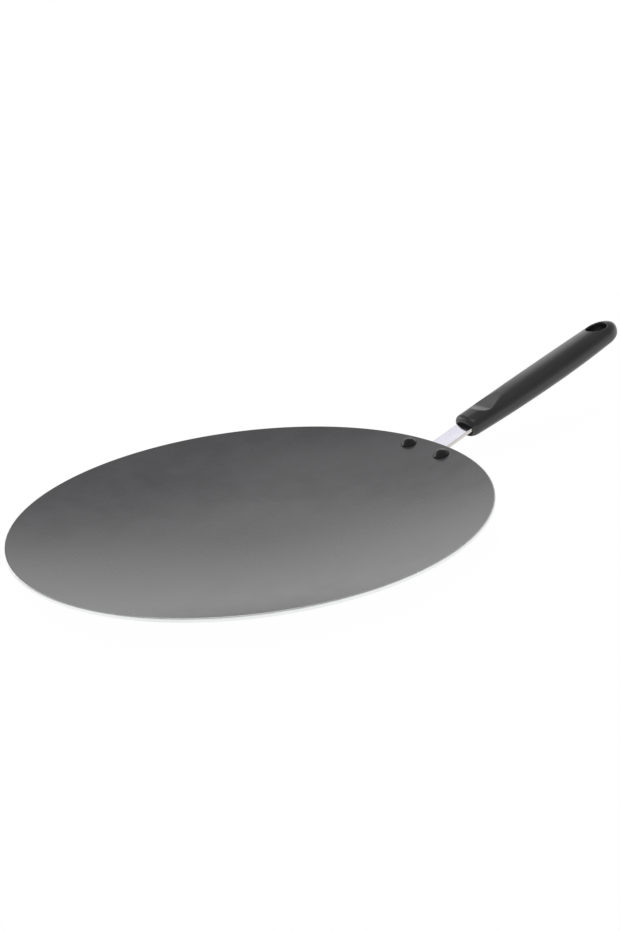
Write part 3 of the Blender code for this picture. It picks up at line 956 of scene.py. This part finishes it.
@dataclass
class Grip:
    """The moulded grip: a swelling squared ellipse with a scoop, a slot and a hanging hole."""

    line: HandleLine
    length: float = 0.1613
    top: float = 0.0081
    fall: float = math.radians(1.16)
    front_size: tuple = (0.0227, 0.0156)
    swell_at: float = 0.0914
    swell_size: tuple = (0.0269, 0.0180)
    end_size: tuple = (0.0250, 0.0167)
    end_round: float = 0.0172
    end_crown: float = 0.6
    brow: float = 0.0038
    chin: float = 0.0006
    squareness: float = 2.35
    scoop_start: float = 0.0133
    scoop_deepest: float = 0.0213
    scoop_end: float = 0.0415
    scoop_depth: float = 0.0020
    scoop_ceiling: float = 0.0040
    scoop_edge: float = 0.0004
    scoop_reach: tuple = (0.002, 0.004)
    hole_inset: float = 0.0170
    hole_length: float = 0.0166
    hole_width: float = 0.0140
    hole_lip: float = 0.0010
    hole_margin: tuple = (0.0012, 0.0010)
    slot_half: tuple = (0.00815, 0.00155)
    slot_depth: float = 0.0627
    slot_plain: float = 0.040
    seat_radius: float = 0.0039
    seat_height: float = 0.0050
    seat_ease: float = 0.0003
    seat_margin: float = 0.0012
    screw_way: float = 0.0004
    socket_radius: float = 0.0038
    socket_height: float = 0.00685
    socket_margin: float = 0.0008
    # Where each stretch of rings ends, and its number of rings
    stretches: tuple = ((0.012, 10), (0.046, 84), (0.128, 82))
    last_stretch: int = 22
    brow_steps: int = 9
    end_steps: int = 44
    lip_steps: int = 7
    lip_rows: int = 8
    wall_rows: int = 9
    seat_steps: int = 4
    seat_rows: int = 5
    mouth_rows: int = 5
    slot_rings: tuple = (12, 40)
    socket_rows: int = 3
    around: int = 184

    def __post_init__(self) -> None:
        """Start the skin and work out the grid of places that it follows."""
        self.skin = Skin(self.line.from_grip)
        self.along = self.stations()
        self.angles = math.tau * np.arange(self.around + 1) / self.around
        self.grid = self.surface(self.along[:, None], self.angles[None, :])

    def stations(self) -> Grid:
        """Space the rings: fine at the ends, the scoop and the holes.

        Returns:
            Their distances from the mouth.
        """
        start = self.length - self.end_round
        parts = [self.brow * (1 - np.cos(quarter(self.brow_steps)))]
        for end, count in (*self.stretches, (start, self.last_stretch)):
            parts.append(np.linspace(parts[-1][-1], end, count)[1:])
        parts.append(start + self.end_round * np.sin(quarter(self.end_steps))[1:])
        return np.concatenate(parts)

    def sizes(self, along: Values) -> tuple[Grid, Grid]:
        """Swell the grip: each end's size plus what is missing times 1-(1-u)^2.

        Args:
            along: Distances from the mouth.

        Returns:
            The half widths and the half thicknesses.
        """
        start = self.length - self.end_round
        front = np.clip(along / self.swell_at, 0, 1)
        back = np.clip(1 - (along - self.swell_at) / (start - self.swell_at), 0, 1)
        halves = []
        for near, full, far in zip(self.front_size, self.swell_size, self.end_size):
            size = np.where(along < self.swell_at, near + (full - near) * (1 - (1 - front) ** 2),
                            far + (full - far) * (1 - (1 - back) ** 2))
            halves.append(size / 2)
        return halves[0], halves[1]

    def crest(self, along: Values) -> Values:
        """Height of the straight top line."""
        return self.top - along * math.tan(self.fall)

    def beneath(self, along: float, share: float) -> float:
        """Height under the top line, where 0.5 is the section's middle and 1 the underside."""
        return self.crest(along) - 2 * share * self.sizes(along)[1]

    def section(self, along: Grid) -> tuple[Grid, Grid, Grid]:
        """Cut the grip across: its swelling sizes, with both ends rounded.

        Args:
            along: Distances from the mouth.

        Returns:
            The half widths, the half thicknesses and the heights of the middles.
        """
        half_width, half_thick = self.sizes(along)
        turn = np.arccos(np.clip(1 - along / self.brow, 0, 1))
        inset = 1 - np.sin(turn)
        brow, chin = self.brow * inset, self.chin * inset
        start = self.length - self.end_round
        closing = np.sqrt(np.clip(1 - (np.maximum(along - start, 0) / self.end_round) ** 2, 0, 1))
        middle = self.crest(along) - half_thick + (chin - brow) / 2
        return ((half_width - brow) * closing,
                (half_thick - (brow + chin) / 2) * closing ** self.end_crown, middle)

    def floor(self, along: Grid) -> Grid:
        """Shape the scoop's floor: a steep parabola in front, an easier power behind.

        Args:
            along: Distances from the mouth.

        Returns:
            Its heights.
        """
        short = (self.scoop_deepest - along) / (self.scoop_deepest - self.scoop_start)
        left = (self.scoop_end - along) / (self.scoop_end - self.scoop_deepest)
        share = np.where(along < self.scoop_deepest, 1 - short ** 2, left * np.sqrt(np.abs(left)))
        return self.crest(along) - np.maximum(self.scoop_depth * share, -self.scoop_ceiling)

    def surface(self, along: Grid, angle: Grid) -> Grid:
        """Work out places on the skin, in the grip's frame.

        Across, the width times the cosine of the angle to the power 2/n; upwards, the
        thickness times its sine to the same power; then the lower of that and the scoop's
        floor, with the corner between them rounded off.

        Args:
            along: Distances from the mouth.
            angle: Angles round the section, from the left side over the top.

        Returns:
            The places.
        """
        power = 2 / self.squareness
        half_width, half_thick, middle = self.section(along)
        cosine, sine = np.cos(angle), np.sin(angle)
        across = np.sign(cosine) * np.abs(cosine) ** power * half_width
        height = middle + np.sign(sine) * np.abs(sine) ** power * half_thick
        floor = self.floor(along)
        near = np.maximum(self.scoop_edge - np.abs(height - floor), 0) / self.scoop_edge
        scooped = np.minimum(height, floor) - near ** 2 * self.scoop_edge / 4
        before, behind = self.scoop_reach
        inside = ((sine > 0) & (along > self.scoop_start - before)
                  & (along < self.scoop_end + behind))
        return np.stack([along + 0 * angle, across, np.where(inside, scooped, height)], axis=-1)

    def angle_at(self, along: Grid, across: Grid, sign: int) -> Grid:
        """Find points of the skin by their plan place.

        Args:
            along: Their distances from the mouth.
            across: Their distances from the middle line.
            sign: 1 on top, -1 below.

        Returns:
            Their angles round the section.
        """
        share = np.clip(across / self.section(along)[0], -1, 1)
        angle = np.arccos(np.sign(share) * np.abs(share) ** (self.squareness / 2))
        return angle if sign > 0 else math.tau - angle

    def oblong(self, direction: Grid, growth: float) -> Grid:
        """Find where rays from the hanging hole's middle meet its outline.

        A ray meets the straight side where that lies within the straight length, and
        otherwise the round end: h|c| + sqrt(R^2 - h^2 s^2) from the middle.

        Args:
            direction: Unit vectors in the hole's plane.
            growth: How much wider than the hole the outline is.

        Returns:
            The points met.
        """
        radius = self.hole_width / 2 + growth
        straight = (self.hole_length - self.hole_width) / 2
        cosine, sine = np.abs(direction[:, 0]), np.abs(direction[:, 1])
        side = radius / np.maximum(sine, TINY)
        end = straight * cosine + np.sqrt(np.maximum(radius ** 2 - (straight * sine) ** 2, 0))
        reach = np.where(cosine * side <= straight, side, end)
        return direction * reach[:, None]

    def collar(self, border: tuple[Grid, Grid], outline: Grid, sign: int, count: int) -> Grid:
        """Lay the skin from a window's border to an outline inside it.

        Args:
            border: Row and column numbers of the window's border.
            outline: Plan points on the skin, one for each border point.
            sign: 1 on top, -1 below.
            count: Number of rows of points.

        Returns:
            The outline's places on the skin.
        """
        rows, columns = border
        outer = np.stack([self.along[rows], self.angles[columns]], axis=1)
        angle = self.angle_at(outline[:, 0], outline[:, 1], sign)
        way = between(outer, np.stack([outline[:, 0], angle], axis=1), count)
        self.skin.sheet(self.surface(way[..., 0], way[..., 1]))
        return self.surface(outline[:, 0], angle)

    def hang_hole(self) -> list[Window]:
        """Cut the hanging hole: a rounded lip on each side and the wall between them.

        Returns:
            The windows on top and below.
        """
        centre = (self.length - self.hole_inset, 0.0)
        reach = (self.hole_length / 2 + self.hole_lip + self.hole_margin[0],
                 self.hole_width / 2 + self.hole_lip + self.hole_margin[1])
        top = window_round(self.grid, centre, reach, (1, len(self.grid) - 3),
                           (2, self.around // 2 - 2))
        below = replace(top, first_column=self.around - top.last_column,
                        last_column=self.around - top.first_column)
        rows, columns = top.border()
        turn = quarter(self.lip_steps)
        walls = []
        for sign, numbers in ((1, columns), (-1, self.around - columns)):
            direction = unit_from(centre, self.grid[rows, numbers])
            outline = self.oblong(direction, self.hole_lip) + centre
            start = self.collar((rows, numbers), outline, sign, self.lip_rows)
            rings = np.stack([self.oblong(direction, self.hole_lip * (1 - math.sin(step)))
                              for step in turn]) + centre
            lip = raised(rings, start[:, 2] - sign * self.hole_lip * (1 - np.cos(turn))[:, None])
            lip[..., 0] += math.tan(self.fall) * (lip[..., 2] - self.beneath(centre[0], 0.5))
            lip[0] = start
            self.skin.sheet(lip)
            walls.append(lip[-1])
        self.skin.sheet(between(*walls, self.wall_rows))
        return [top, below]

    def screw_seat(self) -> Window:
        """Sink the screw's seat into the underside: a small lip, the wall and a level floor.

        Returns:
            The window in the underside.
        """
        centre = (SCREW_AT, 0.0)
        window = window_round(self.grid, centre, self.seat_radius + self.seat_margin,
                              (1, len(self.grid) - 3), (self.around // 2 + 2, self.around - 2))
        border = window.border()
        direction = unit_from(centre, self.grid[border])
        turn = quarter(self.seat_steps)
        radii = np.append(self.seat_radius + self.seat_ease * (1 - np.sin(turn)),
                          (self.seat_radius, SCREW_HOLE))
        rings = direction * radii[:, None, None] + centre
        start = self.collar(border, rings[0], -1, self.seat_rows)
        seat = raised(rings, self.beneath(SCREW_AT, 1) + self.seat_height)
        seat[:len(turn), :, 2] = start[:, 2] + self.seat_ease * (1 - np.cos(turn))[:, None]
        seat[0] = start
        self.skin.sheet(seat)
        return window

    def slot(self) -> None:
        """Sink the strap's slot into the mouth, with the screw's way and the insert's socket.

        Each ring is a rectangle: the cosine and sine times the square root of 2, cut off at 1,
        times the half width and half height.
        """
        angle = self.angles[:-1]
        square = np.clip(math.sqrt(2) * np.stack([np.cos(angle), np.sin(angle)]), -1, 1)
        across, height = square * np.array(self.slot_half)[:, None]
        plain, deep = self.slot_rings
        along = np.append(np.linspace(0, self.slot_plain, plain),
                          np.linspace(self.slot_plain, self.slot_depth, deep)[1:])
        tube = np.stack(np.broadcast_arrays(along[:, None], across, height), axis=-1)
        # the mouth's face takes the darker moulding copy, slot 1: painted shade
        self.skin.sheet(between(self.grid[0, :-1], tube[0], self.mouth_rows), slot=1)
        steps = self.around // 8
        centre = (SCREW_AT, 0.0)
        seat_floor = self.beneath(SCREW_AT, 1) + self.seat_height
        windows = []
        for radius, first, end, closed in (
                (SCREW_HOLE, 5 * steps, seat_floor + self.screw_way, False),
                (self.socket_radius, steps, self.socket_height, True)):
            window = window_round(tube, centre, radius + self.socket_margin, (1, len(along) - 2),
                                  (first + 1, first + 2 * steps - 1))
            border = tube[window.border()]
            plan = ring_round(centre, radius, border)
            ring = raised(plan, border[:, 2])
            self.skin.sheet(between(border, ring, self.socket_rows))
            ends = [raised(plan, end)]
            if closed:
                ends.append(raised(0 * plan + centre, end))
            self.skin.sheet(np.stack([ring, *ends]))
            windows.append(window)
        # the slot's walls take the darker moulding copy, slot 1: painted shade
        self.skin.sheet(tube, slot=1, windows=windows)
        self.skin.sheet(np.stack([tube[-1], tube[-1] * (1, 1, 0)]))

    def build(self) -> bpy.types.Object:
        """Make the grip.

        Returns:
            The finished object.
        """
        windows = [*self.hang_hole(), self.screw_seat()]
        self.skin.sheet(self.grid, closed=False, windows=windows)
        self.slot()
        # the second finish is the darker copy on the mouth and slot: painted shade
        return self.skin.build("moulded_grip", (MOULDED, MATTE_MOULDING_PAINTED_SHADE), Slot.MOULDING, ("handle_grip",),
                               bridge=True)


@dataclass(frozen=True)
class Fasteners:
    """The grip's screw, spring washer and insert, whose solids keep their own shape."""

    finishes: tuple = (("grip_screw", ZINC_SCREW), ("lock_washer", ZINC_WASHER),
                       ("thread_insert", BRASS))

    def dress(self) -> None:
        """Give the three solids their metals."""
        for node, finish in self.finishes:
            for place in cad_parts[node].material_slots:
                place.material = finish.build()
            LOG.info("%s: dressed", node)


# Studio

@dataclass(frozen=True)
class Lamp:
    """A soft square lamp that looks at the pan.

    Its azimuth is in degrees from +X towards +Y, its elevation in degrees over the floor, its
    size the length of its side, and its level the brightness of its face, where 1 is white.
    """

    name: str
    azimuth: float
    elevation: float
    size: float
    level: float
    distance: float = 1.6

    def hang(self) -> None:
        """Hang the lamp."""
        data = bpy.data.lights.new(self.name, "AREA")
        data.shape = "SQUARE"
        data.size = self.size
        data.energy = self.level * math.pi * self.size ** 2
        turn, rise = math.radians(self.azimuth), math.radians(self.elevation)
        back = np.array([math.cos(turn) * math.cos(rise), math.sin(turn) * math.cos(rise),
                         math.sin(rise)])
        side = np.cross((0.0, 0.0, 1.0), back)
        side = side / np.linalg.norm(side)
        add_object(self.name, data, (side, np.cross(back, side), back), back * self.distance)


@dataclass
class Studio:
    """Pale floor, soft light all round and the camera."""

    azimuth: float = math.radians(30.55)
    elevation: float = math.radians(19.3592)
    roll: float = math.radians(5.4558)
    distance: float = 3.764
    unit: float = 0.150
    offset: tuple = (-58.5747, 33.7505)
    focal: float = 900.0
    long_side: float = 930.0
    sensor: float = 36.0
    nearest: float = 0.01
    target_height: float = 0.0185
    floor_half: float = 40.0
    floor_tone: tuple = (0.96, 0.96, 0.96, 1.0)
    floor_roughness: float = 0.9
    floor_lift: float = 0.96
    floor_glow: float = 1.015
    floor_fade: tuple = (0.30, 1.20)
    floor_drop: float = 0.0001
    sky: float = 1.0
    backdrop_edge: tuple = (0.25, 0.519)
    ceiling: float = 0.396
    bright_side: float = math.radians(25.0)
    side_edge: tuple = (-0.20, 0.95)
    side_levels: tuple = (0.45, 1.07)
    lamps: tuple = (Lamp("overhead", 210.0, 75.0, 1.2, 1.1),
                    Lamp("back_left", 110.8, 14.3, 0.96, 1.5),
                    Lamp("back_right", 43.5, 28.0, 0.42, 1.05),
                    Lamp("strap_card", 61.2, 39.8, 0.25, 0.58),
                    Lamp("scoop_card", 63.5, 42.0, 0.16, 2.6),
                    Lamp("margin_card", 59.0, 32.0, 0.22, 0.25))

    def camera(self) -> None:
        """Stand the camera where the picture was taken.

        The axes are the level view direction turned up by the elevation and rolled; the
        middle of the rim's circle lies off the picture's middle by the offset in pixels.
        """
        turn, rise, roll = self.azimuth, self.elevation, self.roll
        forward = np.array([math.sin(turn) * math.cos(rise), math.cos(turn) * math.cos(rise),
                            -math.sin(rise)])
        right = np.array([math.cos(turn), -math.sin(turn), 0.0])
        down = np.cross(forward, right)
        right, down = (right * math.cos(roll) + down * math.sin(roll),
                       down * math.cos(roll) - right * math.sin(roll))
        reach = self.distance / self.focal
        centre = -(forward * self.distance + right * self.offset[0] * reach
                   + down * self.offset[1] * reach) * self.unit
        centre[2] += self.target_height
        data = bpy.data.cameras.new("view")
        data.sensor_width = self.sensor
        data.lens = self.focal * self.sensor / self.long_side
        data.clip_start = self.nearest
        bpy.context.scene.camera = add_object("view", data, (right, -down, -forward), centre)

    def floor(self) -> None:
        """Lay the floor: white with a light shadow of the pan, plain white further out."""
        recipe = Recipe("floor_white")
        recipe.feed(recipe.shader, {"Base Color": self.floor_tone,
                                    "Roughness": self.floor_roughness,
                                    "Specular IOR Level": 0.0})
        glow = recipe.node("Emission", {"Color": WHITE, "Strength": self.floor_glow})
        away = recipe.node("VectorMath", {0: recipe.place()}, operation="LENGTH").outputs[1]
        fade = recipe.ease(away, self.floor_fade, self.floor_lift)
        lift = recipe.math("MULTIPLY", recipe.seen(), fade)
        mix = recipe.node("MixShader", {0: lift, 1: recipe.shader.outputs[0], 2: glow.outputs[0]})
        recipe.feed(recipe.tree.nodes["Material Output"], {"Surface": mix.outputs[0]})
        mesh = bpy.data.meshes.new("floor")
        corners = [(x * self.floor_half, y * self.floor_half, -self.floor_drop)
                   for x, y in ((-1, -1), (1, -1), (1, 1), (-1, 1))]
        mesh.from_pydata(corners, [], [(0, 1, 2, 3)])
        mesh.materials.append(recipe.material)
        plane = add_object("floor", mesh)

    def world(self) -> None:
        """Hang the room round the pan: a white backdrop low down, a darker ceiling above it.

        The backdrop ends in a soft edge between two heights, and it dims round to the side
        away from the bright one. The camera sees white all round.
        """
        world = bpy.data.worlds.new("room")
        bpy.context.scene.world = world
        sheet = NodeSheet(world)
        toward = sheet.node("TexCoord").outputs["Generated"]
        up = sheet.node("SeparateXYZ", {0: toward}).outputs[2]
        bright = (math.cos(self.bright_side), math.sin(self.bright_side), 0.0)
        facing = sheet.node("VectorMath", {0: toward, 1: bright}, operation="DOT_PRODUCT")
        side = sheet.ease(facing.outputs[1], self.side_edge, *self.side_levels)
        room = sheet.ease(up, self.backdrop_edge, side, self.ceiling)
        camera = sheet.node("LightPath").outputs["Is Camera Ray"]
        level = sheet.node("MapRange", {"Value": sheet.seen(), 3: self.sky, 4: 1.0})
        lit = sheet.math("MULTIPLY", room, level.outputs["Result"])
        sheet.feed(sheet.tree.nodes["Background"], {
            "Color": WHITE, "Strength": sheet.math("MAXIMUM", lit, camera)})

    def flag_card(self, name: str, pieces: list[bpy.types.Object], hide: bool = False) -> None:
        """Flag a card as in a studio, so that it lights some pieces alone, or all but those.

        Args:
            name: The card's name.
            pieces: The pieces that it lights, or that are hidden from it.
            hide: Whether the pieces are hidden from it.
        """
        lit = bpy.data.collections.new("flags_of_" + name)
        for piece in pieces:
            lit.objects.link(piece)
        for link in lit.collection_objects:
            link.light_linking.link_state = "EXCLUDE" if hide else "INCLUDE"
        bpy.data.objects[name].light_linking.receiver_collection = lit

    def build(self) -> None:
        """Set up the camera, the floor and the light."""
        self.camera()
        self.floor()
        self.world()
        for lamp in self.lamps:
            lamp.hang()
        bpy.context.scene.view_settings.view_transform = "Standard"


def main() -> None:
    """Build the studio and the pan, piece by piece."""
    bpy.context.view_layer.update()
    studio = Studio()
    studio.build()
    line = HandleLine()
    dish = Dish(line).build()
    rivets = [Rivet(line, side, node).build()
              for side, node in ((1, "rivet_left"), (-1, "rivet_right"))]
    bracket = Bracket(line).build()
    grip = Grip(line).build()
    studio.flag_card("overhead", rivets, hide=True)
    studio.flag_card("strap_card", [bracket, grip])
    studio.flag_card("scoop_card", [grip])
    studio.flag_card("margin_card", [dish])
    Fasteners().dress()


if __name__ == "__main__":
    main()
